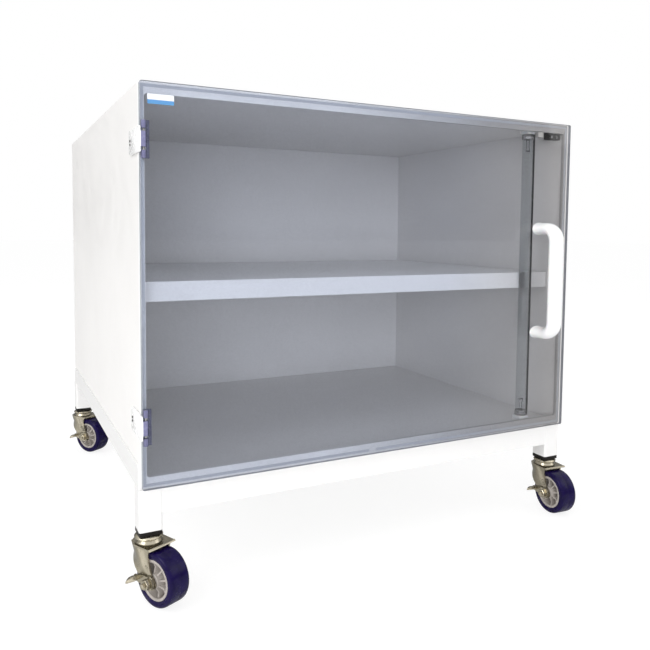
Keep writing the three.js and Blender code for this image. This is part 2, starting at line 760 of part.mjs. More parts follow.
// Swivel angles at rest, in degrees from +X, chosen as the casters happen to stand.
const casterPlaces = [
  ['front_left', -1, -1, -64],
  ['front_right', 1, -1, -94],
  ['rear_left', -1, 1, -56],
  ['rear_right', 1, 1, -70],
];

function addCaster(name, sx, sy, swivel) {
  const group = new THREE.Group();
  group.position.set(sx * legCentreX, sy * legCentreY, 0);
  const turned = new THREE.Group();
  turned.rotation.z = THREE.MathUtils.degToRad(swivel);
  group.add(piece(`leg_plug_${name}`, legPlug(), black, 0.6));
  group.add(piece(`caster_stem_${name}`, casterStem(), zinc, 0.35, 1));
  turned.add(piece(`caster_fork_${name}`, casterFork(), zinc, 0.35, 1));
  turned.add(piece(`caster_axle_${name}`, casterAxle(), steel, 0.3, 1));
  turned.add(piece(`wheel_hub_${name}`, wheelHub(), hubGrey, 0.5));
  turned.add(piece(`wheel_tread_${name}`, wheelTread(), navy, 0.35));
  turned.add(piece(`brake_lever_${name}`, brakeLever(), zinc, 0.35, 1));
  group.add(turned);
  cabinet.add(group);
}

addShell();
addFaceFrame();
addRearPanel();
addShelf();
addLamp();
addElectrics();
addDoor();
addSeal();
addHinge('upper', cabinetTop - upperHingeDrop);
addHinge('lower', cabinetBottom + lowerHingeRise);
addSwitch();
addBase();
for (const place of casterPlaces) addCaster(...place);

const footprint = new THREE.Box3().setFromObject(cabinet, true);
const middle = footprint.getCenter(new THREE.Vector3());
cabinet.position.set(-middle.x, -middle.y, -footprint.min.z);

export default cabinet;
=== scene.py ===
# Looks for a UV sterilizer cabinet: a white sheet cabinet with a smoked full-width door on a
# white tube base with four braked swivel casters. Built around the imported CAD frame.
# Metres. +Z is up, the door faces -Y, +X is to the right seen from the front.
import json
import math

import bmesh
import bpy
from mathutils import Matrix, Vector


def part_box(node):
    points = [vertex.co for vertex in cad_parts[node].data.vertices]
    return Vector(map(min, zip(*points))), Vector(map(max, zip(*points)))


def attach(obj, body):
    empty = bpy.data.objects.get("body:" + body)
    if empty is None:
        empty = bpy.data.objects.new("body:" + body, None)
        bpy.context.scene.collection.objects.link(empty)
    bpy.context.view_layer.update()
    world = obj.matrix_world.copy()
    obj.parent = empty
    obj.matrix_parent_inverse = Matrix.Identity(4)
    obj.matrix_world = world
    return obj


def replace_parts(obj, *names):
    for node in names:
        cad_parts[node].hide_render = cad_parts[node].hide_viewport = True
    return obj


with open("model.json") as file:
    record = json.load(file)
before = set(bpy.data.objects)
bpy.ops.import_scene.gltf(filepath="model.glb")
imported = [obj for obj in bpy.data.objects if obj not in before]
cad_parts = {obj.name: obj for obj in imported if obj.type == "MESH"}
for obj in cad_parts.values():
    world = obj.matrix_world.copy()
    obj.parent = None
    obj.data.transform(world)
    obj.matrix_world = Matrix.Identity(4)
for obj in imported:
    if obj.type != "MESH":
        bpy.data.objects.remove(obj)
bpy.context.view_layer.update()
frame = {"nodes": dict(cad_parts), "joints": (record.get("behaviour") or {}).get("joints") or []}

MM = 0.001
UP = Vector((0, 0, 1))
NODES = frame["nodes"]
JOINTS = {joint["name"]: joint for joint in frame["joints"]}
CASTER_PLACES = ("front_left", "front_right", "rear_left", "rear_right")

# ---- colours (linear) -----------------------------------------------------------------------
WHITE_SHEET = (0.86, 0.848, 0.835)
WHITE_ENAMEL = (0.80, 0.795, 0.79)
WHITE_SHELF = (0.90, 0.90, 0.90)
FRAME_RIGHT_SHADE = (0.47, 0.462, 0.455)  # painted shade on the flange behind the door, at its right end
WHITE_GLOSS = (0.88, 0.88, 0.88)
SMOKE = (0.89, 0.905, 0.94)  # light let through one face of the door, at its left edge
SMOKE_RIGHT_SHADE = (0.91, 0.905, 0.905)  # and at its right edge, where the tint turns neutral grey as painted shade
SMOKE_EDGE = (0.30, 0.31, 0.34)
# painted sheen of the hinge knuckles: lit violet where they face the eye, painted shade where they
# turn away
VIOLET_SHEEN_LIT = (0.20, 0.20, 0.34)
VIOLET_DARK = (0.02, 0.02, 0.06)
SEAL_WHITE = (0.60, 0.62, 0.66)
BLACK = (0.006, 0.005, 0.0045)
HUB_GREY = (0.42, 0.385, 0.355)
MAGNET_GREY = (0.45, 0.44, 0.42)
ZINC_BRIGHT = (0.66, 0.60, 0.47)
ZINC_OLIVE = (0.36, 0.33, 0.21)
# painted dark reflection at the rims of the zinc-plated parts
ZINC_DARK_REFLECTION = (0.075, 0.065, 0.03)
STEEL = (0.62, 0.62, 0.63)
NAVY = (0.0045, 0.002, 0.028)
NAVY_SCUFF = (0.05, 0.045, 0.09)
BAND_BLUE = (0.10, 0.28, 0.55)
FILM_WHITE = (0.80, 0.82, 0.86)
SHEET_SCUFF = (0.58, 0.57, 0.55)
ENAMEL_RUB = (0.60, 0.59, 0.57)
VIOLET_CLEAR = (0.66, 0.68, 0.78)  # light let through one face of a hinge's plate
BLACK_GRAIN = (0.016, 0.014, 0.013)
BLACK_WORN = (0.08, 0.075, 0.07)
# painted dark reflection at the rims of bright steel
STEEL_DARK_REFLECTION = (0.07, 0.075, 0.06)
SPANGLE_DARK = (0.42, 0.43, 0.44)
SPANGLE_LIGHT = (0.58, 0.59, 0.60)
QUARTZ_STREAK = (0.90, 0.92, 0.93)
QUARTZ_CLEAR = (0.97, 0.98, 0.985)
SHEATH_DARK = (0.008, 0.008, 0.009)
SHEATH_LIGHT = (0.018, 0.018, 0.02)
PAPER_DARK = (0.78, 0.78, 0.78)
PAPER_LIGHT = (0.82, 0.82, 0.82)
NO_LIGHT = (0.0, 0.0, 0.0)
WHITE_LIGHT = (1.0, 1.0, 1.0)


def scaled(colour, share):
    return tuple(share * c for c in colour)


# ---- node helpers ---------------------------------------------------------------------------
class Nodes:
    """A short way to add and link the nodes of one material."""

    def __init__(self, name):
        self.material = bpy.data.materials.new(name)
        self.material.use_nodes = True
        self.tree = self.material.node_tree
        self.tree.nodes.clear()
        self.output = self.tree.nodes.new("ShaderNodeOutputMaterial")
        self.place = self.tree.nodes.new("ShaderNodeTexCoord").outputs["Object"]

    def add(self, kind, **inputs):
        node = self.tree.nodes.new("ShaderNode" + kind)
        for key, value in inputs.items():
            self.put(node, key.replace("_", " "), value)
        return node

    def put(self, node, key, value):
        socket = node.inputs[int(key) if key.isdigit() else key]
        if isinstance(value, bpy.types.NodeSocket):
            self.tree.links.new(value, socket)
        elif isinstance(value, tuple) and len(value) == 3 and socket.type == "RGBA":
            socket.default_value = (*value, 1)
        else:
            socket.default_value = value

    def math(self, operation, a, b=0.0):
        node = self.add("Math")
        node.operation = operation
        self.put(node, "0", a)
        self.put(node, "1", b)
        return node.outputs[0]

    def noise(self, scale, detail=3.0, stretch=None):
        """Noise with a feature size of 1 / scale metres, drawn out by stretch if given."""
        place = self.place
        if stretch:
            mapping = self.add("Mapping", Vector=place)
            mapping.inputs["Scale"].default_value = stretch
            place = mapping.outputs[0]
        node = self.add("TexNoise", Vector=place, Scale=scale, Detail=detail)
        return node.outputs["Fac"]

    def ramp(self, value, low, high, from_low=0.3, from_high=0.7):
        """value mapped to a number from low to high."""
        node = self.add("MapRange", Value=value)
        node.inputs["From Min"].default_value = from_low
        node.inputs["From Max"].default_value = from_high
        node.inputs["To Min"].default_value = low
        node.inputs["To Max"].default_value = high
        return node.outputs[0]

    def mix(self, factor, a, b):
        node = self.tree.nodes.new("ShaderNodeMix")
        node.data_type = "RGBA"
        self.put(node, "0", factor)
        self.put(node, "6", a)
        self.put(node, "7", b)
        return node.outputs[2]

    def bump(self, *layers):
        """layers are (height, distance in metres, strength) from coarse to fine."""
        normal = None
        for height, distance, strength in layers:
            node = self.add("Bump", Height=height, Distance=distance, Strength=strength)
            if normal:
                self.put(node, "Normal", normal)
            normal = node.outputs[0]
        return normal

    def wear(self, distance):
        """0 on flat ground and up to 1 at edges within distance, for worn or dusty edges."""
        bevel = self.add("Bevel", Radius=distance)
        geometry = self.add("NewGeometry")
        dot = self.add("VectorMath")
        dot.operation = "DOT_PRODUCT"
        self.put(dot, "0", bevel.outputs[0])
        self.put(dot, "1", geometry.outputs["Normal"])
        return self.ramp(dot.outputs["Value"], 1.0, 0.0, 0.75, 0.995)

    def blend(self, factor, a, b):
        """Shader a where factor is 0, shader b where it is 1."""
        node = self.add("MixShader")
        self.put(node, "0", factor)
        self.put(node, "1", a)
        self.put(node, "2", b)
        return node.outputs[0]

    def part(self, axis, vector=None):
        """One coordinate of the place in metres, or of a given vector."""
        return self.add("SeparateXYZ", Vector=vector or self.place).outputs[axis]

    def finish(self, shader):
        self.tree.links.new(shader, self.output.inputs["Surface"])
        return self.material


def surface(nodes, colour, roughness, normal=None, **more):
    shader = nodes.add("BsdfPrincipled", Roughness=roughness)
    nodes.put(shader, "Base Color", colour)
    for key, value in more.items():
        nodes.put(shader, key.replace("_", " "), value)
    if normal:
        nodes.put(shader, "Normal", normal)
    return shader.outputs[0]


# ---- materials ------------------------------------------------------------------------------
def white_sheet():
    """Satin white plastic sheet: faint clouding, fine grain, handling marks."""
    n = Nodes("white_sheet")
    clouds = n.ramp(n.noise(6.0, 4.0), 0.0, 1.0)
    grain = n.noise(900.0, 2.0)
    shade = n.mix(clouds, scaled(WHITE_SHEET, 0.965), WHITE_SHEET)
    scuffs = n.ramp(n.noise(55.0, 6.0, (1.0, 1.0, 7.0)), 0.0, 0.10, 0.60, 0.80)
    shade = n.mix(scuffs, shade, SHEET_SCUFF)
    rough = n.math("ADD", n.ramp(n.noise(30.0, 5.0), 0.34, 0.46), scuffs)
    normal = n.bump((n.noise(14.0), 0.0006, 0.25), (grain, 0.00004, 0.15))
    return n.finish(surface(n, shade, rough, normal))


def white_shelf():
    """White lacquered steel of the shelf: brighter than the sheet, fine orange peel, rub marks."""
    n = Nodes("white_shelf")
    rubs = n.ramp(n.noise(40.0, 6.0, (0.3, 3.0, 1.0)), 0.0, 1.0, 0.55, 0.8)
    shade = n.mix(rubs, WHITE_SHELF, scaled(WHITE_SHELF, 0.93))
    rough = n.math("ADD", n.ramp(n.noise(60.0, 4.0), 0.30, 0.42), n.math("MULTIPLY", rubs, 0.15))
    return n.finish(surface(n, shade, rough, n.bump((n.noise(500.0, 1.5), 0.00008, 0.3))))


def white_frame():
    """The flange behind the door: as the shelf, but greyed towards the right end by painted shade.
    """
    n = Nodes("white_frame")
    clouds = n.ramp(n.noise(30.0, 4.0), 0.0, 1.0)
    shade = n.mix(clouds, scaled(WHITE_SHELF, 0.96), WHITE_SHELF)
    # painted shade: the flange greys towards its right end
    shade = n.mix(n.ramp(n.part("X"), 0.0, 1.0, -0.10, 0.20), shade, FRAME_RIGHT_SHADE)
    normal = n.bump((n.noise(500.0), 0.00008, 0.3))
    return n.finish(surface(n, shade, n.ramp(clouds, 0.32, 0.42), normal))


def white_enamel():
    """Gloss powder coat: fine orange peel, the faintest clouding, a few rub marks."""
    n = Nodes("white_enamel")
    clouds = n.ramp(n.noise(7.0, 3.0), 0.0, 1.0)
    shade = n.mix(clouds, scaled(WHITE_ENAMEL, 0.985), WHITE_ENAMEL)
    rubs = n.ramp(n.noise(90.0, 6.0, (1.0, 1.0, 4.0)), 0.0, 0.10, 0.62, 0.85)
    shade = n.mix(rubs, shade, ENAMEL_RUB)
    rough = n.math("ADD", n.ramp(n.noise(18.0, 3.0), 0.28, 0.34), rubs)
    return n.finish(surface(n, shade, rough, n.bump((n.noise(420.0, 1.5), 0.00005, 0.25))))


def white_moulded():
    """Gloss white moulded plastic: smooth, a little soft inside, faint sink and fine scratches."""
    n = Nodes("white_moulded")
    shade = n.mix(n.ramp(n.noise(40.0), 0.0, 1.0), scaled(WHITE_GLOSS, 0.97), WHITE_GLOSS)
    scratches = n.noise(260.0, 4.0, (6.0, 6.0, 0.6))
    rough = n.ramp(scratches, 0.16, 0.30)
    normal = n.bump((n.noise(60.0, 1.0), 0.0004, 0.12), (n.noise(1500.0, 2.0), 0.00003, 0.3))
    return n.finish(surface(n, shade, rough, normal, Subsurface_Weight=0.12, Subsurface_Scale=0.004))


def see_through(n, tint, gloss, roughness, normal=None):
    """A thin tinted clear face: what is behind it, tinted, and a mirror-like sheen over it."""
    clear = n.add("BsdfTransparent", Color=tint)
    sheen = n.add("BsdfGlossy", Roughness=roughness)
    behind = n.add("NewGeometry").outputs["Backfacing"]
    index = n.ramp(behind, 1.49, 1 / 1.49, 0.0, 1.0)  # the same sheen from both sides of the face
    fresnel = n.add("Fresnel", IOR=index)
    if normal:
        n.put(sheen, "Normal", normal)
        n.put(fresnel, "Normal", normal)
    amount = n.math("MULTIPLY", fresnel.outputs[0], gloss)
    return n.blend(amount, clear.outputs[0], sheen.outputs[0])


def smoked_sheet():
    """Smoked clear sheet: a tint with painted shade that turns it neutral to the right and a little
    deeper low down, faint smears and hairline scratches, darker cut edge."""
    n = Nodes("smoked_sheet")
    smears = n.ramp(n.noise(7.0, 6.0, (1.0, 1.0, 2.2)), 0.0, 1.0, 0.35, 0.75)
    # painted shade: the tint turns neutral grey towards the right
    tint = n.mix(n.ramp(n.part("X"), 0.0, 1.0, 0.12, 0.40), SMOKE, SMOKE_RIGHT_SHADE)
    speckle = n.ramp(n.noise(420.0, 2.0), 0.0, 0.04)
    haze_and_low_shade = n.math("ADD", speckle, n.math("MULTIPLY", smears, 0.015))
    # painted shade: the sheet a little darker low down, added to the real speckle and smears
    haze_and_low_shade = n.math("ADD", haze_and_low_shade, n.ramp(n.part("Z"), 0.04, 0.0, 0.28, 0.43))
    tint = n.mix(haze_and_low_shade, tint, NO_LIGHT)
    scratches = n.ramp(n.noise(90.0, 7.0, (3.0, 1.0, 0.25)), 0.0, 0.06, 0.62, 0.80)
    rough = n.math("ADD", n.ramp(smears, 0.03, 0.07, 0.0, 1.0), scratches)
    face = see_through(n, tint, 1.0, rough, n.bump((n.noise(9.0, 2.0), 0.0004, 0.1)))
    saw_marks = n.noise(500.0, 3.0, (1.0, 12.0, 1.0))
    edge = surface(n, SMOKE_EDGE, n.ramp(saw_marks, 0.25, 0.5), n.bump((saw_marks, 0.0001, 0.4)))
    outward = n.part("Y", n.add("NewGeometry").outputs["Normal"])
    is_edge = n.math("LESS_THAN", n.math("ABSOLUTE", outward), 0.5)
    return n.finish(n.blend(is_edge, face, edge))


def violet_painted_sheen(n):
    """A painted sheen: violet-grey where the surface faces the eye, and painted shade, nearly black,
    where it turns away.
    """
    facing = n.add("LayerWeight", Blend=0.4).outputs["Facing"]
    mottle = n.ramp(n.noise(90.0), 0.85, 1.0)
    shade = n.mix(n.ramp(facing, 0.0, 1.0, 0.15, 0.75), VIOLET_SHEEN_LIT, VIOLET_DARK)
    return n.mix(mottle, VIOLET_DARK, shade)


def smoked_moulded(plate_face):
    """Smoked moulded plastic of the door-side hinge leaves: violet knuckles with a painted sheen,
    which stand out beyond plate_face (a Y), on a thin see-through plate."""
    n = Nodes("smoked_moulded")
    normal = n.bump((n.noise(300.0), 0.0001, 0.3))
    body = surface(n, violet_painted_sheen(n), n.ramp(n.noise(200.0, 4.0), 0.12, 0.24), normal)
    clear = n.add("BsdfTransparent", Color=VIOLET_CLEAR)
    on_plate = n.math("GREATER_THAN", n.part("Y"), plate_face)
    see_through_share = n.ramp(on_plate, 0.25, 0.86, 0.0, 1.0)
    return n.finish(n.blend(see_through_share, body, clear.outputs[0]))


def plate_film(low, high):
    """Blank name plate: white film over a blue lower band, under a clear coat."""
    n = Nodes("plate_film")
    band_top = low + 0.42 * (high - low)
    in_band = n.math("LESS_THAN", n.part("Z"), band_top)
    mottle = n.ramp(n.noise(700.0, 3.0), 0.9, 1.0)
    shade = n.mix(in_band, FILM_WHITE, BAND_BLUE)
    shade = n.mix(mottle, scaled(BAND_BLUE, 0.7), shade)
    return n.finish(surface(n, shade, 0.22, n.bump((n.noise(200.0), 0.00008, 0.3)), Coat_Weight=0.5))


def foam_seal():
    """Closed-cell white foam strip."""
    n = Nodes("foam_seal")
    cells = n.add("TexVoronoi", Vector=n.place, Scale=1400.0).outputs["Distance"]
    shade = n.mix(n.ramp(cells, 0.0, 1.0, 0.0, 0.8), scaled(SEAL_WHITE, 0.86), SEAL_WHITE)
    return n.finish(surface(n, shade, 0.75, n.bump((cells, 0.0003, 0.6))))


def black_moulded():
    """Matt black plastic with a spark-eroded grain and greyed edges."""
    n = Nodes("black_moulded")
    grain = n.noise(1600.0, 2.0)
    edge = n.math("MULTIPLY", n.wear(0.0006), 0.3)
    shade = n.mix(n.ramp(grain, 0.0, 1.0), BLACK, BLACK_GRAIN)
    shade = n.mix(edge, shade, BLACK_WORN)
    rough = n.ramp(n.noise(80.0, 4.0), 0.42, 0.6)
    normal = n.bump((grain, 0.00008, 0.7))
    return n.finish(surface(n, shade, rough, normal, Specular_IOR_Level=0.18))


def grey_moulded(name, colour):
    """Light grey-beige moulded plastic with flow clouds, fine grain and rubbed edges."""
    n = Nodes(name)
    clouds = n.ramp(n.noise(120.0, 5.0), 0.0, 1.0)
    shade = n.mix(clouds, scaled(colour, 0.82), colour)
    edge = n.math("MULTIPLY", n.wear(0.0008), 0.5)
    shade = n.mix(edge, shade, scaled(colour, 1.35))
    normal = n.bump((n.noise(1200.0, 2.0), 0.00008, 0.5))
    return n.finish(surface(n, shade, n.ramp(n.noise(150.0, 4.0), 0.32, 0.5), normal))


def painted_dark_rim(n):
    """0 where the surface faces the eye, 1 where it turns away: where bright metal gets a painted
    dark reflection at its rim.
    """
    return n.ramp(n.add("LayerWeight", Blend=0.5).outputs["Facing"], 0.0, 1.0, 0.25, 0.85)


def zinc_yellow():
    """Pressed steel in yellow passivated zinc: bright to olive clouds, drawn marks, dark rims
    painted as reflection.
    """
    n = Nodes("zinc_yellow")
    clouds = n.ramp(n.noise(45.0, 3.0), 0.0, 1.0, 0.35, 0.68)
    shade = n.mix(clouds, scaled(ZINC_BRIGHT, 0.8), ZINC_BRIGHT)
    tarnish = n.ramp(n.noise(150.0, 4.0), 0.0, 0.35, 0.55, 0.80)
    shade = n.mix(tarnish, shade, ZINC_OLIVE)
    # painted dark reflection at the rims
    shade = n.mix(painted_dark_rim(n), shade, ZINC_DARK_REFLECTION)
    drawn = n.noise(420.0, 3.0, (1.0, 1.0, 0.12))
    rough = n.math("ADD", n.ramp(drawn, 0.20, 0.28), n.math("MULTIPLY", tarnish, 0.2))
    normal = n.bump((n.noise(90.0, 2.0), 0.0004, 0.3), (drawn, 0.00004, 0.25))
    return n.finish(surface(n, shade, rough, normal, Metallic=0.95))


def bright_steel():
    """Bright zinc-plated steel with fine turning marks and dark rims painted as reflection."""
    n = Nodes("bright_steel")
    shade = n.mix(n.ramp(n.noise(300.0, 5.0), 0.0, 1.0), scaled(STEEL, 0.8), STEEL)
    # painted dark reflection at the rims
    shade = n.mix(painted_dark_rim(n), shade, STEEL_DARK_REFLECTION)
    turned = n.noise(1800.0, 3.0, (0.3, 4.0, 0.3))
    rough = n.ramp(turned, 0.14, 0.28)
    return n.finish(surface(n, shade, rough, n.bump((turned, 0.00004, 0.4)), Metallic=1.0))


def case_steel():
    """Galvanised sheet case with a faint spangle."""
    n = Nodes("case_steel")
    spangle = n.add("TexVoronoi", Vector=n.place, Scale=160.0).outputs["Color"]
    grey = n.part("X", spangle)
    shade = n.mix(grey, SPANGLE_DARK, SPANGLE_LIGHT)
    return n.finish(surface(n, shade, n.ramp(grey, 0.32, 0.5, 0.0, 1.0), Metallic=0.9))


def navy_tread():
    """Glossy dark navy polyurethane: faint swirls, fine scuffs, dust."""
    n = Nodes("navy_tread")
    swirls = n.ramp(n.noise(60.0, 5.0), 0.0, 1.0)
    shade = n.mix(swirls, NAVY, scaled(NAVY, 1.8))
    scuffs = n.ramp(n.noise(240.0, 6.0, (1.0, 1.0, 3.0)), 0.0, 0.45, 0.55, 0.80)
    shade = n.mix(n.math("MULTIPLY", scuffs, 0.08), shade, NAVY_SCUFF)
    rough = n.math("ADD", n.ramp(n.noise(90.0, 5.0), 0.16, 0.26), n.math("MULTIPLY", scuffs, 0.3))
    normal = n.bump((n.noise(500.0, 3.0), 0.0001, 0.2))
    return n.finish(surface(n, shade, rough, normal, Specular_IOR_Level=0.16))


def tube_glass():
    """Clear quartz tube wall."""
    n = Nodes("tube_glass")
    streaks = n.ramp(n.noise(50.0, 3.0, (1.0, 1.0, 0.1)), 0.95, 1.0)
    tint = n.mix(streaks, QUARTZ_STREAK, QUARTZ_CLEAR)
    return n.finish(see_through(n, tint, 0.8, 0.05))


def cable_sheath():
    """Satin black cable sheath with a faint extruded grain."""
    n = Nodes("cable_sheath")
    grain = n.noise(900.0, 3.0, (1.0, 1.0, 0.1))
    shade = n.mix(n.ramp(grain, 0.0, 1.0), SHEATH_DARK, SHEATH_LIGHT)
    return n.finish(surface(n, shade, n.ramp(grain, 0.38, 0.52), n.bump((grain, 0.0001, 0.4))))


def floor_paper():
    """Pale studio paper, lit a little from within so that shadows on it stay faint."""
    n = Nodes("floor_paper")
    fibre = n.ramp(n.noise(300.0, 3.0), 0.97, 1.0)
    shade = n.mix(fibre, PAPER_DARK, PAPER_LIGHT)
    paper = surface(n, shade, 0.9)
    glow = n.add("Emission", Color=WHITE_LIGHT, Strength=1.15)
    seen = n.add("LightPath").outputs["Is Camera Ray"]
    return n.finish(n.blend(n.math("MULTIPLY", seen, 0.72), paper, glow.outputs[0]))


def hinge_two_tone(edge):
    """The side leaf: gloss white over the side panel, violet-grey with a painted sheen from the
    door's edge on.
    """
    n = Nodes("hinge_two_tone")
    knuckle = n.math("GREATER_THAN", n.part("X"), edge)
    shade = n.mix(n.ramp(n.noise(90.0), 0.0, 1.0), scaled(WHITE_GLOSS, 0.95), WHITE_GLOSS)
    shade = n.mix(knuckle, shade, violet_painted_sheen(n))
    rough = n.ramp(n.noise(200.0, 4.0), 0.18, 0.32)
    return n.finish(surface(n, shade, rough, n.bump((n.noise(300.0), 0.00005, 0.1))))


PLATE_REACH = 0.0028  # from the door's face to just past the plates of its hinge leaves
door_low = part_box("door_panel")[0]
plate_low, plate_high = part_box("name_plate")
MATERIALS = {
    "white_sheet": white_sheet(),
    "white_shelf": white_shelf(),
    "white_frame": white_frame(),
    "white_enamel": white_enamel(),
    "hinge_two_tone": hinge_two_tone(door_low.x),
    "white_moulded": white_moulded(),
    "smoked_sheet": smoked_sheet(),
    "smoked_moulded": smoked_moulded(door_low.y - PLATE_REACH),
    "plate_white": plate_film(plate_low.z, plate_high.z),
    "seal_white": foam_seal(),
    "black_plastic": black_moulded(),
    "grey_plastic": grey_moulded("grey_plastic", MAGNET_GREY),
    "hub_grey": grey_moulded("hub_grey", HUB_GREY),
    "tube_glass": tube_glass(),
    "cable_black": cable_sheath(),
    "ballast_steel": case_steel(),
    "bright_steel": bright_steel(),
    "zinc_yellow": zinc_yellow(),
    "navy_tread": navy_tread(),
}


# ---- mesh helpers ---------------------------------------------------------------------------
CRISP_ANGLE = math.radians(35)


def smooth(obj):
    """Smooth shading, with edges sharper than CRISP_ANGLE kept crisp."""
    obj.data.shade_smooth()
    obj.data.set_sharp_from_angle(angle=CRISP_ANGLE)
    return obj


def soften(obj, width, segments=2, angle=30):
    """Rounds every edge sharper than angle by width (metres)."""
    bevel = obj.modifiers.new("soften", "BEVEL")
    bevel.width = width
    bevel.segments = segments
    bevel.limit_method = "ANGLE"
    bevel.angle_limit = math.radians(angle)
    return obj


def piece(name, bm, body, slot, material=None, place=None):
    """A new visible piece from a bmesh in millimetres, riding on a CAD body."""
    mesh = bpy.data.meshes.new(name)
    bmesh.ops.recalc_face_normals(bm, faces=bm.faces)
    bm.to_mesh(mesh)
    bm.free()
    mesh.transform((place or Matrix.Identity(4)) @ Matrix.Scale(MM, 4))
    obj = bpy.data.objects.new(name, mesh)
    bpy.context.scene.collection.objects.link(obj)
    mesh.materials.append(MATERIALS[material or slot])
    smooth(obj)
    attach(obj, body)
    return obj


def add_ring(bm, points):
    return [bm.verts.new(point) for point in points]


def bridge(bm, rings, closed_ends=True, loop=False):
    """Quads between rings of equal length. The first and last ring are capped, joined to each
    other (loop) or left open."""
    pairs = list(zip(rings, rings[1:]))
    if loop:
        pairs.append((rings[-1], rings[0]))
    for low, high in pairs:
        count = len(low)
        for i in range(count):
            j = (i + 1) % count
            bm.faces.new((low[i], low[j], high[j], high[i]))
    if closed_ends and not loop:
        bm.faces.new(rings[0])
        bm.faces.new(rings[-1])


def lathe(bm, outline, segments, centre=(0, 0, 0), axis="Y", loop=True):
    """A solid turned about an axis from (radius, height) points; loop joins the last point to
    the first, otherwise both ends are capped."""
    centre = Vector(centre)
    rings = []
    for radius, height in outline:
        ring = []
        for i in range(segments):
            turn = 2 * math.pi * i / segments
            u, v = radius * math.cos(turn), radius * math.sin(turn)
            point = Vector((u, height, v)) if axis == "Y" else Vector((u, v, height))
            ring.append(centre + point)
        rings.append(add_ring(bm, ring))
    bridge(bm, rings, loop=loop)


def prism(bm, outline, lift, thickness):
    """A flat outline of 3-D points drawn out by thickness along lift."""
    step = Vector(lift).normalized() * thickness
    low = add_ring(bm, outline)
    high = add_ring(bm, [Vector(point) + step for point in outline])
    bridge(bm, [low, high])


def pierced_plate(bm, outline, centre, hole, lift):
    """A flat plate, lift thick, with a hole round centre. Seen from the centre, the outline's
    points have to follow each other in order of direction."""
    centre, lift = Vector(centre), Vector(lift)
    outer = [Vector(point) for point in outline]
    inner = [centre + (point - centre).normalized() * hole for point in outer]
    rings = [outer, [point + lift for point in outer], [point + lift for point in inner], inner]
    bridge(bm, [add_ring(bm, ring) for ring in rings], loop=True)


def close_shell(bm, skins):
    """Faces over two equal grids of vertices, and a rim that joins their borders."""
    borders = []
    for grid in skins:
        for a, b in zip(grid, grid[1:]):
            for i in range(len(a) - 1):
                bm.faces.new((a[i], a[i + 1], b[i + 1], b[i]))
        border = list(grid[0]) + [line[-1] for line in grid[1:]]
        border += list(reversed(grid[-1]))[1:] + [line[0] for line in reversed(grid[1:-1])]
        borders.append(border)
    bridge(bm, borders, closed_ends=False)


def blend_curve(points, steps):
    """A smooth curve (Catmull-Rom) through the points, with steps pieces between each two."""
    ends = [points[0], *points, points[-1]]
    curve = []
    for i in range(1, len(ends) - 2):
        a, b, c, d = (Vector(ends[i + k]) for k in (-1, 0, 1, 2))
        for step in range(steps):
            t = step / steps
            curve.append(0.5 * (2 * b + (c - a) * t + (2 * a - 5 * b + 4 * c - d) * t ** 2
                                + (3 * b - a - 3 * c + d) * t ** 3))
    curve.append(Vector(points[-1]))
    return curve


def corner_path(points, radius, steps=8):
    """A path through points with every inner corner rounded by an arc of about radius."""
    path = [Vector(points[0])]
    for before, here, after in zip(points, points[1:], points[2:]):
        here = Vector(here)
        start = here + (Vector(before) - here).normalized() * radius
        end = here + (Vector(after) - here).normalized() * radius
        centre = start + end - here
        for step in range(steps + 1):
            t = step / steps * math.pi / 2
            path.append(centre + (start - centre) * math.cos(t) + (end - centre) * math.sin(t))
    path.append(Vector(points[-1]))
    return path


def sweep(bm, path, section, wide=Vector((1, 0, 0)), scales=None):
    """A section of (across, along) pairs swept on a path; across lies along wide."""
    rings = []
    for i, point in enumerate(path):
        ahead = (path[min(i + 1, len(path) - 1)] - path[max(i - 1, 0)]).normalized()
        out = ahead.cross(wide).normalized()
        across = out.cross(ahead).normalized()
        size = scales[i] if scales else 1.0
        rings.append(add_ring(bm, [point + size * (u * across + v * out) for u, v in section]))
    bridge(bm, rings)


def oval(half_u, half_v, count):
    """An oval section of count points for sweep."""
    turns = [2 * math.pi * i / count for i in range(count)]
    return [(half_u * math.cos(turn), half_v * math.sin(turn)) for turn in turns]


def box_mm(node):
    """A CAD node's lowest and highest corner in millimetres."""
    low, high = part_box(node)
    return low / MM, high / MM


# ---- the CAD pieces that stay ---------------------------------------------------------------
KEPT = {  # material slot: (how far its edges are softened in millimetres, nodes)
    "white_sheet": (0.8, [
        "left_side_panel", "right_side_panel", "top_panel", "floor_panel",
        "chamber_back_panel", "rear_panel", "face_frame", "shelf", "shelf_ledge",
    ]),
    "white_enamel": (0.9, ["base_frame"]),
    "smoked_sheet": (0.5, ["door_panel"]),
    "white_moulded": (0.5, [
        "upper_hinge_side_leaf", "lower_hinge_side_leaf", "lamp_holder_lower",
        "lamp_holder_upper",
    ]),
    "smoked_moulded": (0.4, ["upper_hinge_door_leaf", "lower_hinge_door_leaf"]),
    "plate_white": (0.1, ["name_plate"]),
    "seal_white": (0.3, ["door_seal_left", "door_seal_right"]),
    "black_plastic": (0.5, [
        "door_switch", "power_inlet", "power_rocker",
        *("leg_plug_" + place for place in CASTER_PLACES),
    ]),
    "grey_plastic": (0.5, ["door_magnet"]),
    "ballast_steel": (0.6, ["lamp_ballast"]),
    "bright_steel": (0.2, [
        "handle_screw_lower", "handle_screw_upper", "upper_hinge_pin", "lower_hinge_pin",
    ]),
}
ROUND_NODES = ("hinge", "screw", "pin", "plug", "holder", "inlet", "ballast", "switch")
OTHER_LOOKS = {  # nodes whose material differs from their slot's
    "shelf": "white_shelf",
    "face_frame": "white_frame",
    "upper_hinge_side_leaf": "hinge_two_tone",
    "lower_hinge_side_leaf": "hinge_two_tone",
}


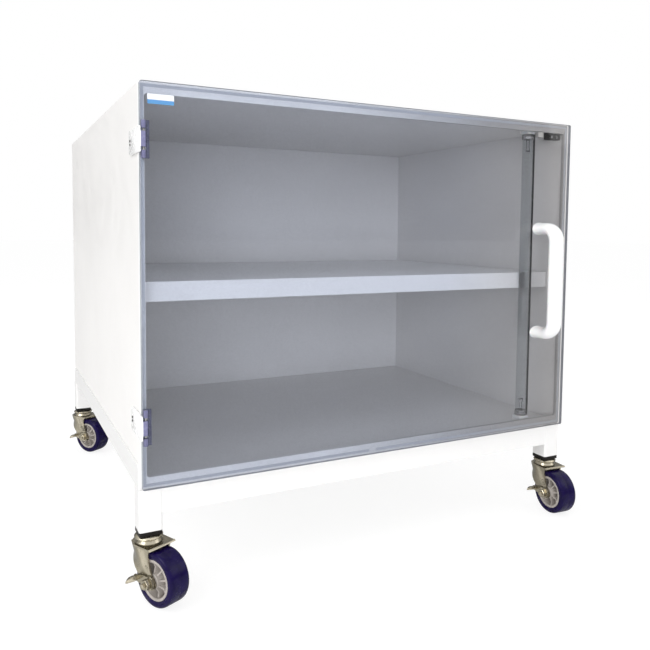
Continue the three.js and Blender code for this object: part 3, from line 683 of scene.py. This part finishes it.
WELD_DISTANCE = 0.00002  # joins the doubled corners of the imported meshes


def dress_cad_nodes():
    for slot, (edge, names) in KEPT.items():
        for name in names:
            obj = NODES[name]
            obj.data.materials.clear()
            obj.data.materials.append(MATERIALS[OTHER_LOOKS.get(name, slot)])
            if "custom_normal" in obj.data.attributes:
                obj.data.attributes.remove(obj.data.attributes["custom_normal"])
            weld = obj.modifiers.new("weld", "WELD")
            weld.merge_threshold = WELD_DISTANCE
            soften(obj, edge * MM)
            if any(word in name for word in ROUND_NODES):
                smooth(obj)
            else:
                obj.data.shade_flat()


# ---- handle ---------------------------------------------------------------------------------
HANDLE_HALF_THICK = 10.0
HANDLE_CORNER = 22
HANDLE_FOOT = ((0.0, 1.10), (1.5, 1.06), (5.0, 1.0))  # (distance from the door, flare)


def make_handle():
    low, high = box_mm("door_handle")
    face = high.y
    half_wide = (high.x - low.x) / 2
    x = (low.x + high.x) / 2
    grip = low.y + HANDLE_HALF_THICK
    top, bottom = high.z - HANDLE_HALF_THICK, low.z + HANDLE_HALF_THICK
    points = [(x, face, top), (x, grip, top), (x, grip, bottom), (x, face, bottom)]
    bend = corner_path(points, HANDLE_CORNER, 12)
    upper_foot = [bend[0] + Vector((0, -out, 0)) for out, _ in HANDLE_FOOT]
    lower_foot = [bend[-1] + Vector((0, -out, 0)) for out, _ in reversed(HANDLE_FOOT)]
    path = [*upper_foot, *bend[1:-1], *lower_foot]
    flare = [size for _, size in HANDLE_FOOT]
    scales = [*flare, *[1.0] * len(bend[1:-1]), *reversed(flare)]
    bm = bmesh.new()
    sweep(bm, path, oval(half_wide, HANDLE_HALF_THICK, 40), scales=scales)
    handle = piece("door_grip", bm, "door", "white_moulded")
    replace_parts(handle, "door_handle")


# ---- lamp -----------------------------------------------------------------------------------
GLASS_RADIUS = 9.6
GLASS_WALL = 1.0
CAP_LONG = 9
FILAMENT_TURNS = 12
FILAMENT_STEPS = 8  # for each turn


def make_glass(centre, bottom, top):
    inner = GLASS_RADIUS - GLASS_WALL
    low, high = bottom + CAP_LONG - 4, top - CAP_LONG + 4
    bm = bmesh.new()
    outline = [(GLASS_RADIUS, low), (GLASS_RADIUS, high), (inner, high), (inner, low)]
    lathe(bm, outline, 48, (centre.x, centre.y, 0), "Z")
    return piece("lamp_glass", bm, "cabinet", "tube_glass")


def make_caps(centre, ends):
    outline = [
        (4, 0.2), (GLASS_RADIUS + 0.2, 0.2), (GLASS_RADIUS + 0.9, 1.2),
        (GLASS_RADIUS + 0.9, CAP_LONG - 3), (GLASS_RADIUS + 0.5, CAP_LONG - 2.4),
        (GLASS_RADIUS + 0.5, CAP_LONG - 0.4), (GLASS_RADIUS + 0.1, CAP_LONG), (4, CAP_LONG),
    ]
    bm = bmesh.new()
    for end, inward in ends:
        placed = [(radius, end + inward * along) for radius, along in outline]
        lathe(bm, placed, 48, (centre.x, centre.y, 0), "Z")
    piece("lamp_caps", bm, "cabinet", "bright_steel")


def make_filaments(centre, ends):
    """At each end two support wires, spread at the tip, and a coil between their tips."""
    tip = CAP_LONG + 20
    half_coil = 4.5
    bm = bmesh.new()
    for end, inward in ends:
        for side in (-1, 1):
            shape = ((3, CAP_LONG - 2), (3, CAP_LONG + 12), (half_coil, tip))
            wire = [
                Vector((centre.x + side * out, centre.y, end + inward * along))
                for out, along in shape
            ]
            sweep(bm, wire, oval(0.5, 0.5, 8))
        coil = []
        steps = FILAMENT_TURNS * FILAMENT_STEPS
        for i in range(steps + 1):
            t = i / steps
            turn = FILAMENT_TURNS * 2 * math.pi * t
            x = centre.x - half_coil + 2 * half_coil * t
            coil.append(Vector((x, centre.y + math.cos(turn), end + inward * tip + math.sin(turn))))
        sweep(bm, coil, oval(0.25, 0.25, 6), wide=Vector((0, 0.3, 1)))
    piece("lamp_filaments", bm, "cabinet", "bright_steel")


def make_lamp():
    low, high = box_mm("lamp_tube")
    centre = (low + high) / 2
    ends = ((low.z, 1), (high.z, -1))  # the height of each end and the way inwards
    glass = make_glass(centre, low.z, high.z)
    make_caps(centre, ends)
    make_filaments(centre, ends)
    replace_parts(glass, "lamp_tube")


def make_cable():
    low, high = box_mm("lamp_cable")
    y = (low.y + high.y) / 2
    radius = (high.y - low.y) / 2
    right = high.x - radius
    bottom, top = low.z + radius, high.z - radius
    bend = 3.2
    bm = bmesh.new()
    points = [(low.x, y, bottom), (right, y, bottom), (right, y, top), (low.x, y, top)]
    sweep(bm, corner_path(points, bend, 8), oval(radius, radius, 16), wide=Vector((0, 1, 0)))
    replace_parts(piece("lamp_lead", bm, "cabinet", "cable_black"), "lamp_cable")


# ---- small fixings --------------------------------------------------------------------------
SCREW_DOME = ((1.0, 0.2), (0.92, 0.55), (0.7, 0.9), (0.42, 1.05), (0.15, 1.1))


def add_screw(bm, centre, out, radius, depth=0.8):
    """A domed cross-recessed screw head at centre, facing out (a unit vector)."""
    turn = Vector(out).to_track_quat("Y", "Z").to_matrix()
    rings = []
    for share, lift in ((1.0, -depth), *SCREW_DOME):
        ring = []
        for i in range(24):
            angle = 2 * math.pi * i / 24
            in_recess = share < 0.8 and i % 6 == 0
            height = lift - (0.45 if in_recess else 0.0)
            across = share * radius * math.cos(angle)
            along = share * radius * math.sin(angle)
            ring.append(Vector(centre) + turn @ Vector((across, height, along)))
        rings.append(add_ring(bm, ring))
    bridge(bm, rings)


def make_switch_screws():
    low, high = box_mm("door_switch")
    inset, height = 8, 5
    bm = bmesh.new()
    for x in (low.x + inset, high.x - inset):
        add_screw(bm, (x, low.y - 0.1, low.z + height), (0, -1, 0), 2.5)
    piece("switch_screws", bm, "cabinet", "bright_steel")


def make_hinge_screws():
    half_apart, inset = 2.4, 9
    bm = bmesh.new()
    for name in ("upper", "lower"):
        low, high = box_mm(name + "_hinge_side_leaf")
        middle = (low.z + high.z) / 2
        for step in (-half_apart, half_apart):
            add_screw(bm, (low.x + 0.2, high.y - inset, middle + step), (-1, 0, 0), 1.9, 0.3)
    piece("hinge_screws", bm, "cabinet", "black_plastic")


def three_along(low, high, inset):
    """Both ends, set in, and the middle between them."""
    return (low + inset, low + 0.5 * (high - low), high - inset)


def make_rear_screws():
    """Round the rim of the rear panel: a grid of three by three without its middle."""
    low, high = box_mm("rear_panel")
    inset = 14
    bm = bmesh.new()
    for column, x in enumerate(three_along(low.x, high.x, inset)):
        for row, z in enumerate(three_along(low.z, high.z, inset)):
            if (column, row) != (1, 1):
                add_screw(bm, (x, high.y, z), (0, 1, 0), 3.6)
    piece("rear_screws", bm, "cabinet", "bright_steel")


# ---- casters --------------------------------------------------------------------------------
# A caster is drawn in millimetres around its swivel axis, with the wheel trailing along +X, the
# axle along Y and the floor at 0. caster_place() puts it where the CAD says.
TRAIL = 30
AXLE_HEIGHT = 37.5
CHEEK_OUT = 21.5  # outer face of each fork cheek, from the wheel's middle
CHEEK_THICK = 2.3
CHEEK_REAR = (  # (height, x) of a cheek's rear edge
    (81, -18), (75, -21.5), (68, -22.5), (61, -20), (54, -13.5), (48, -5), (42, 4.5), (36, 14),
    (31, 21.5),
)
CHEEK_FRONT = (81, 25), (72, 22.5), (63, 22.5), (55, 26), (48, 31.5), (42, 37), (37.5, 40.5)
BOSS = 10.5  # radius of a cheek's end round the axle
CROWN_LOW = 78.5
CROWN_TOP = 81
CROWN_FRONT = 27
CROWN_HALF = 22
CROWN_ROUND = 22.5
LIP_HALF = 22.4
KING_HOLE = 5.8  # radius in the crown, round the king pin
AXLE_HOLE = 4.4  # radius in the brake lever, round the axle
HUB_RIBS = 8
RIB_HALF = 1.2
TREAD_HALF = 16
LEVER_ROUND = 9.5
LEVER_THICK = 2.2
PEDAL_THICK = 1.8


def caster_place(place):
    centre = Vector(JOINTS["swivel_" + place]["pos_m"])
    axle = Vector(JOINTS["wheel_spin_" + place]["pos_m"])
    ahead = Vector((axle.x - centre.x, axle.y - centre.y, 0)).normalized()
    side = UP.cross(ahead)
    turn = Matrix((ahead, side, UP)).transposed().to_4x4()
    return Matrix.Translation((centre.x, centre.y, 0)) @ turn


def cheek_width(height):
    """x of a fork cheek's rear and front edge at a height."""
    edges = []
    for line in (CHEEK_REAR, CHEEK_FRONT):
        curve = blend_curve([(z, x, 0) for z, x in line], 8)
        nearest = min(curve, key=lambda point: abs(point.x - height))
        edges.append(nearest.y)
    below = height - AXLE_HEIGHT
    round_half = math.sqrt(max(0.0, BOSS ** 2 - below ** 2))
    if height < 32:
        edges[0] = TRAIL - round_half
    if height < AXLE_HEIGHT:
        edges[1] = TRAIL + round_half
    return edges


def cheek_inset(x, height):
    """How far the pressed cheek curves in towards the wheel at a point."""
    crease = 3 + 0.45 * (CROWN_TOP - height)
    if x < crease:
        return 0.0125 * (crease - x) ** 2 * min(1.0, max(0.0, (height - 42) / 22))
    return min(2.6, 0.35 * (x - crease)) * min(1.0, max(0.0, (height - 48) / 10))


def add_cheek(bm, side):
    rows, columns = 36, 22
    top = CROWN_TOP - 0.5
    low = AXLE_HEIGHT - 0.998 * BOSS
    skins = []
    for skin in (0.0, CHEEK_THICK):
        grid = []
        for row in range(rows + 1):
            height = top - (top - low) * math.sin(row / rows * math.pi / 2)
            rear, front = cheek_width(height)
            line = []
            for column in range(columns + 1):
                x = rear + (front - rear) * column / columns
                y = side * (CHEEK_OUT - skin - cheek_inset(x, height))
                line.append(bm.verts.new((x, y, height)))
            grid.append(line)
        skins.append(grid)
    close_shell(bm, skins)


def make_fork(place, at):
    """Two pressed cheeks under a crown with a rolled front lip and a raised bearing seat."""
    bm = bmesh.new()
    for side in (-1, 1):
        add_cheek(bm, side)
    crown = [
        Vector((CROWN_FRONT, -CROWN_HALF, CROWN_LOW)), Vector((CROWN_FRONT, CROWN_HALF, CROWN_LOW)),
    ]
    crown += [
        Vector((CROWN_ROUND * math.cos(turn), CROWN_ROUND * math.sin(turn), CROWN_LOW))
        for turn in (math.pi * (0.5 + i / 20) for i in range(21))
    ]
    pierced_plate(bm, crown, (0, 0, CROWN_LOW), KING_HOLE, (0, 0, CROWN_TOP - CROWN_LOW))
    lip = [
        (26, 80.9), (27.6, 81.5), (29.2, 80.9), (30.0, 79.2), (28.6, 78.3), (27.2, 78.6), (26, 78.5),
    ]
    prism(bm, [Vector((x, -LIP_HALF, z)) for x, z in lip], Vector((0, 1, 0)), 2 * LIP_HALF)
    lathe(bm, [
        (6, 80.5), (19.0, 80.5), (18.4, 82.2), (17.2, 83.4), (16.6, 85.6), (15.4, 86.8), (6, 86.8),
    ], 48, (0, 0, 0), "Z")
    obj = piece("fork_" + place, bm, "caster_" + place, "zinc_yellow", place=at)
    soften(obj, 0.0005, 2, 40)
    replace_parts(obj, "caster_fork_" + place)


def make_stem(place, at):
    bm = bmesh.new()
    lathe(bm, [
        (0.01, 74.5), (7.2, 74.5), (8, 75.2), (8, 78.0), (4.4, 78.2), (4.4, 87.2), (15.0, 87.3),
        (18.6, 86.6), (19.6, 87.2), (19.7, 88.4), (18.4, 90.0), (15.5, 90.9), (11, 91.4), (6, 91.7),
        (6, 118.6), (0.01, 119),
    ], 48, (0, 0, 0), "Z", loop=False)
    obj = piece("stem_" + place, bm, "cabinet", "zinc_yellow", place=at)
    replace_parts(obj, "caster_stem_" + place)


def make_axle(place, at):
    """A bolt through the fork, with a low nut and a tall one, each on its washer."""
    bm = bmesh.new()
    for side, start, tall in ((1, CHEEK_OUT + 1.2, 4.6), (-1, CHEEK_OUT + 4.4, 6.0)):
        rings = []
        for offset, size in ((0, 6.9), (0.6, 7.4), (tall - 0.8, 7.4), (tall, 6.6)):
            y = side * (start + offset)
            rings.append(add_ring(bm, [
                (TRAIL + size * math.cos(turn), y, AXLE_HEIGHT + size * math.sin(turn))
                for turn in (math.pi / 3 * i + 0.3 for i in range(6))
            ]))
        bridge(bm, rings)
        washer = start - 1.1
        lathe(bm, [
            (4, side * washer), (9.2, side * washer), (9.2, side * (washer + 1.0)),
            (4, side * (washer + 1.0)),
        ], 32, (TRAIL, 0, AXLE_HEIGHT))
    thread = []
    for i in range(9):
        thread += [(3.9, -(30.6 + 0.6 * i)), (3.4, -(30.9 + 0.6 * i))]
    bolt = [(0.01, CHEEK_OUT + 3), (3.9, CHEEK_OUT + 3), *thread, (0.01, -36.2)]
    lathe(bm, bolt, 28, (TRAIL, 0, AXLE_HEIGHT), loop=False)
    obj = piece("axle_" + place, bm, "caster_" + place, "bright_steel", "zinc_yellow", at)
    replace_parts(obj, "caster_axle_" + place)


def add_rib(bm, side, turn):
    """One rib of the hub, on one side of its web, at an angle."""
    section = ((9.6, 2.0), (9.6, 14.0), (17.0, 10.5), (24.0, 12.5), (24.0, 2.0))
    axle = Vector((TRAIL, 0, AXLE_HEIGHT))
    along = Vector((math.cos(turn), 0, math.sin(turn)))
    across = Vector((-math.sin(turn), 0, math.cos(turn)))
    outline = [
        axle + along * radius + Vector((0, side * y, 0)) - across * RIB_HALF
        for radius, y in section
    ]
    prism(bm, outline, across, 2 * RIB_HALF)


def make_hub(place, at):
    bm = bmesh.new()
    lathe(bm, [
        (24.6, -15.4), (27.4, -15.4), (27.9, -14.8), (27.9, 14.8), (27.4, 15.4), (24.6, 15.4),
        (23.9, 14.6), (23.2, 3.0), (10.6, 2.2), (10.0, 17.0), (9.4, 17.5), (4.4, 17.5),
        (4.4, -17.5), (9.4, -17.5), (10.0, -17.0), (10.6, -2.2), (23.2, -3.0), (23.9, -14.6),
    ], 72, (TRAIL, 0, AXLE_HEIGHT))
    for side in (-1, 1):
        for i in range(HUB_RIBS):
            add_rib(bm, side, 2 * math.pi * (i + 0.25) / HUB_RIBS)
    obj = piece("hub_" + place, bm, "wheel_" + place, "grey_plastic", "hub_grey", at)
    soften(obj, 0.0003, 1, 40)
    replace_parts(obj, "wheel_hub_" + place)


def make_tread(place, at):
    half = TREAD_HALF
    right = [
        (28.0, half - 0.9), (30.0, half - 0.7), (30.4, half - 0.2), (31.6, half - 0.2),
        (32.0, half - 0.6), (32.6, half), (35.0, half - 0.2), (36.0, half - 0.7),
        (36.9, half - 1.9), (37.3, half - 3.2), (37.5, half - 5.0), (37.5, 1.2), (37.35, 0.3),
    ]
    left = [(radius, -y) for radius, y in reversed(right)]
    bm = bmesh.new()
    lathe(bm, right + left, 112, (TRAIL, 0, AXLE_HEIGHT))
    obj = piece("tread_" + place, bm, "wheel_" + place, "navy_tread", place=at)
    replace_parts(obj, "wheel_tread_" + place)


def add_pedal(bm, root):
    """A leaf-shaped folded pedal that reaches outwards from root (a y) and droops at its tip."""
    widths = ((0.0, 5.6), (0.2, 6.6), (0.45, 6.4), (0.7, 4.4), (0.88, 2.2), (1.0, 0.4))
    fold = ((-1, 0), (-0.5, 0.7), (0, 1.5), (0.5, 0.7), (1, 0))  # (share of half width, lift)
    leaf = []
    for t, half in widths:
        x, y, z = TRAIL - 27 - 1.5 * t, root - 16.5 * t, AXLE_HEIGHT + 0.8 - 2.6 * t * t
        leaf.append([Vector((x + share * half, y, z + lift)) for share, lift in fold])
    skins = []
    for drop in (0.0, PEDAL_THICK):
        skins.append([add_ring(bm, [point - drop * UP for point in line]) for line in leaf])
    close_shell(bm, skins)


def make_lever(place, at):
    """The brake: a plate round the axle, an arm to the rear and a pedal."""
    bm = bmesh.new()
    face = -(CHEEK_OUT + 0.5)
    plate = [
        (TRAIL + LEVER_ROUND * math.cos(turn), face, AXLE_HEIGHT + LEVER_ROUND * math.sin(turn))
        for turn in (math.radians(-130 + 13 * i) for i in range(21))
    ]
    arm = ((-12, 7.5), (-22, 5), (-31, 3), (-33.5, -1), (-30, -4), (-18, -6))
    plate += [(TRAIL + x, face, AXLE_HEIGHT + z) for x, z in arm]
    pierced_plate(bm, plate, (TRAIL, face, AXLE_HEIGHT), AXLE_HOLE, (0, -LEVER_THICK, 0))
    add_pedal(bm, face - 1.6)
    obj = piece("lever_" + place, bm, "brake_" + place, "zinc_yellow", place=at)
    soften(obj, 0.0004, 2, 40)
    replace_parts(obj, "brake_lever_" + place)


def make_casters():
    for place in CASTER_PLACES:
        at = caster_place(place)
        make_fork(place, at)
        make_stem(place, at)
        make_axle(place, at)
        make_hub(place, at)
        make_tread(place, at)
        make_lever(place, at)


# ---- stage, light and camera ----------------------------------------------------------------
FLOOR_HALF = 30.0
LIGHT_TARGET = (0, 0, 0.4)
CAMERA_LENS = 37.43
CAMERA_SHIFT = -0.078  # the frame sits a little below the line of sight
CAMERA_FROM_DOOR = (-0.1805, -0.8984, 0.3512)  # from the door's lower left front corner
CAMERA_TURN = (26.638, 3.714, 0.529)  # degrees: to the right, down, and rolled


def make_floor():
    bm = bmesh.new()
    corners = ((-1, -1), (1, -1), (1, 1), (-1, 1))
    bm.faces.new(add_ring(bm, [(x * FLOOR_HALF, y * FLOOR_HALF, 0) for x, y in corners]))
    mesh = bpy.data.meshes.new("floor")
    bm.to_mesh(mesh)
    bm.free()
    floor = bpy.data.objects.new("floor", mesh)
    mesh.materials.append(floor_paper())
    bpy.context.scene.collection.objects.link(floor)


def map_range(tree, value, low, high, from_high=1.0):
    """A world node that maps value, from 0 to from_high, to a number from low to high."""
    node = tree.nodes.new("ShaderNodeMapRange")
    node.inputs["From Max"].default_value = from_high
    node.inputs["To Min"].default_value = low
    node.inputs["To Max"].default_value = high
    tree.links.new(value, node.inputs["Value"])
    return node.outputs[0]


def make_room():
    """White all round. The camera sees it brightest, and reflections see it brighten upwards."""
    world = bpy.data.worlds.new("studio")
    bpy.context.scene.world = world
    world.use_nodes = True
    tree = world.node_tree
    ray = tree.nodes.new("ShaderNodeLightPath").outputs
    direction = tree.nodes.new("ShaderNodeSeparateXYZ")
    tree.links.new(tree.nodes.new("ShaderNodeTexCoord").outputs["Generated"], direction.inputs[0])
    seen = map_range(tree, ray["Is Camera Ray"], 0.70, 1.0)
    reflected = map_range(tree, direction.outputs["Z"], 0.12, 1.1, from_high=0.8)
    strength = tree.nodes.new("ShaderNodeMix")
    tree.links.new(ray["Is Glossy Ray"], strength.inputs[0])
    tree.links.new(seen, strength.inputs[2])
    tree.links.new(reflected, strength.inputs[3])
    background = tree.nodes["Background"]
    background.inputs["Color"].default_value = (*WHITE_LIGHT, 1)
    tree.links.new(strength.outputs[0], background.inputs["Strength"])


def area_light(name, place, size, power, shiny=True):
    """A rectangular light aimed at the object. One that isn't shiny leaves no reflection."""
    data = bpy.data.lights.new(name, "AREA")
    data.shape = "RECTANGLE"
    data.size, data.size_y = size
    data.energy = power
    light = bpy.data.objects.new(name, data)
    light.location = place
    light.rotation_mode = "QUATERNION"
    light.rotation_quaternion = (Vector(LIGHT_TARGET) - Vector(place)).to_track_quat("-Z", "Y")
    bpy.context.scene.collection.objects.link(light)
    light.visible_camera = False
    light.visible_glossy = shiny


def make_lights():
    area_light("key", (-3.0, -1.2, 2.8), (2.2, 2.2), 60)
    area_light("front", (-1.6, -4.22, 0.8), (2.4, 2.0), 112, shiny=False)
    area_light("side", (3.0, -1.8, 2.0), (2.0, 2.0), 12)


def make_camera():
    """In front and left of the door, a little above its middle, looking right and slightly down."""
    yaw, pitch, roll = (math.radians(angle) for angle in CAMERA_TURN)
    level = math.cos(pitch)
    ahead = Vector((math.sin(yaw) * level, math.cos(yaw) * level, -math.sin(pitch)))
    right = ahead.cross(UP).normalized()
    up = right.cross(ahead)
    tilted_right = right * math.cos(roll) + up * math.sin(roll)
    tilted_up = tilted_right.cross(ahead)
    turn = Matrix((tilted_right, tilted_up, -ahead)).transposed().to_4x4()
    data = bpy.data.cameras.new("camera")
    data.sensor_width = 36
    data.lens = CAMERA_LENS
    data.shift_y = CAMERA_SHIFT
    camera = bpy.data.objects.new("camera", data)
    camera.matrix_world = Matrix.Translation(door_low + Vector(CAMERA_FROM_DOOR)) @ turn
    bpy.context.scene.collection.objects.link(camera)
    bpy.context.scene.camera = camera


def set_view():
    view = bpy.context.scene.view_settings
    view.view_transform = "Standard"
    view.look = "None"
    view.exposure = 0.0


dress_cad_nodes()
make_handle()
make_lamp()
make_cable()
make_switch_screws()
make_hinge_screws()
make_rear_screws()
make_casters()
make_floor()
make_room()
make_lights()
make_camera()
set_view()
